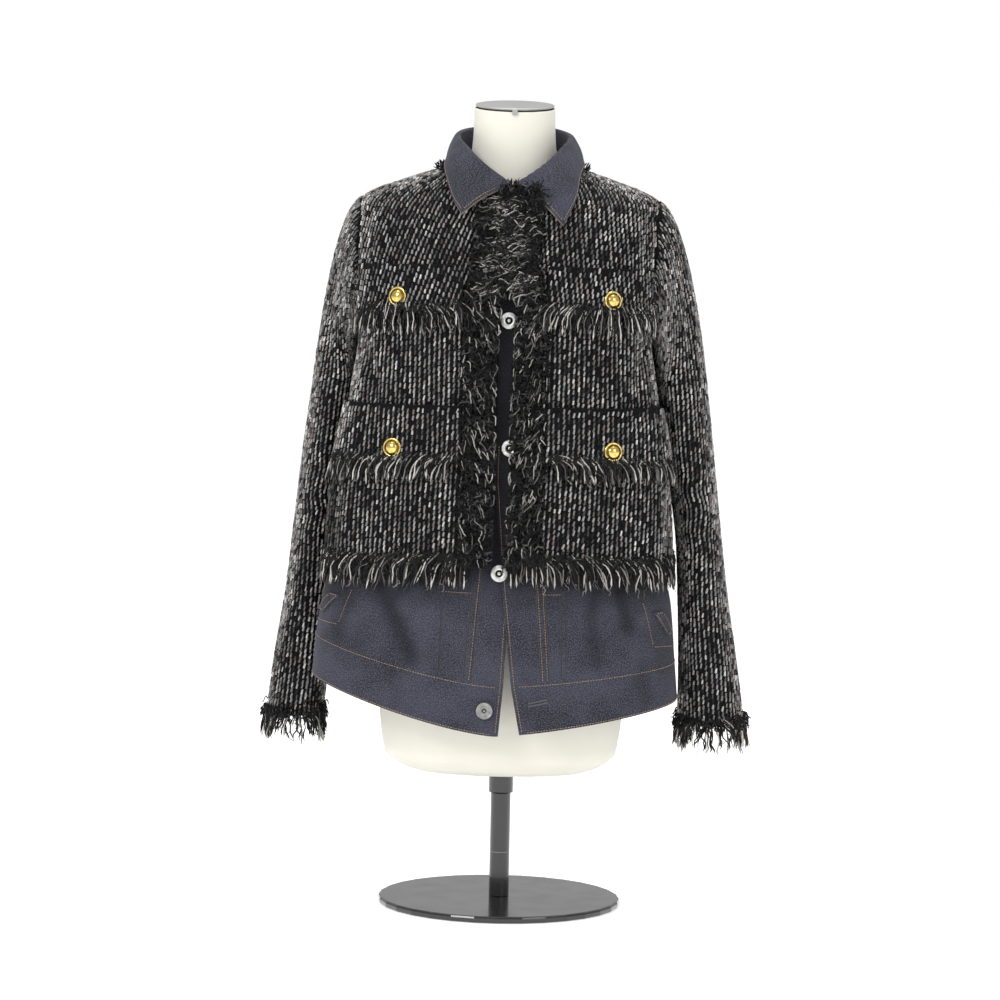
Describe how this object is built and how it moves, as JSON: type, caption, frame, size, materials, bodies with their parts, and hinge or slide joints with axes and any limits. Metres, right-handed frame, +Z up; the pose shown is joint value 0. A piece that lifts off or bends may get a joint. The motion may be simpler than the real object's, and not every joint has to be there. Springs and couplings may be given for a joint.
{
  "type": "tweed jacket on a dress form",
  "caption": "Cropped fringed tweed jacket with flap pockets over a sewn-in denim body, collar and skirt, worn on a limbless dress form on a short pole and round base.",
  "frame": {"origin": "on the floor under the middle of the pole, the centre of the base plate's flat underside", "axes": "+Z up along the pole, the front of the jacket faces -Y, the wearer's left arm is on +X"},
  "size_m": [0.5715, 0.2968, 0.926],
  "materials": {
    "tweed": "loose black boucle weave with rows of white and grey slub yarn, matt and fuzzy",
    "fringe": "loose black and cream yarn ends, matt and fuzzy",
    "denim": "raw dark indigo twill with pale flecks and tan topstitching",
    "gold": "polished, domed, with a raised rim",
    "silver": "satin, ring-topped",
    "form_cover": "taut ivory cotton cover, matt",
    "cap_metal": "satin grey",
    "black_gloss": "black, glossy"
  },
  "bodies": {
    "root": {"tweed_front_left": "tweed", "tweed_front_right": "tweed", "tweed_back": "tweed", "tweed_sleeve_top_left": "tweed", "tweed_sleeve_under_upper_left": "tweed", "tweed_sleeve_under_lower_left": "tweed", "tweed_sleeve_top_right": "tweed", "tweed_sleeve_under_upper_right": "tweed", "tweed_sleeve_under_lower_right": "tweed", "flap_upper_left": "tweed", "flap_upper_right": "tweed", "flap_lower_left": "tweed", "flap_lower_right": "tweed", "flap_fringe_upper_left": "fringe", "flap_fringe_upper_right": "fringe", "flap_fringe_lower_left": "fringe", "flap_fringe_lower_right": "fringe", "flap_side_fringe_upper_left": "fringe", "flap_side_fringe_upper_right": "fringe", "flap_side_fringe_lower_left": "fringe", "flap_side_fringe_lower_right": "fringe", "hem_fringe_left": "fringe", "hem_fringe_right": "fringe", "hem_fringe_back": "fringe", "edge_fringe_left": "fringe", "edge_fringe_right": "fringe", "cuff_fringe_left": "fringe", "cuff_fringe_right": "fringe", "denim_front_centre_left": "denim", "denim_front_centre_right": "denim", "denim_front_side_left": "denim", "denim_front_side_right": "denim", "denim_back_side_left": "denim", "denim_back_centre": "denim", "denim_back_side_right": "denim", "denim_band_left": "denim", "denim_band_right": "denim", "denim_band_back": "denim", "denim_collar": "denim", "pocket_welt_left": "denim", "pocket_welt_right": "denim", "gold_button_upper_left": "gold", "gold_button_upper_right": "gold", "gold_button_lower_left": "gold", "gold_button_lower_right": "gold", "silver_button_top": "silver", "silver_button_middle": "silver", "silver_button_low": "silver", "silver_button_waist": "silver", "form_torso": "form_cover", "neck_cap": "cap_metal", "cap_tab": "cap_metal", "pole_collar": "black_gloss", "pole": "black_gloss", "base_plate": "black_gloss"}
  },
  "joints": []
}
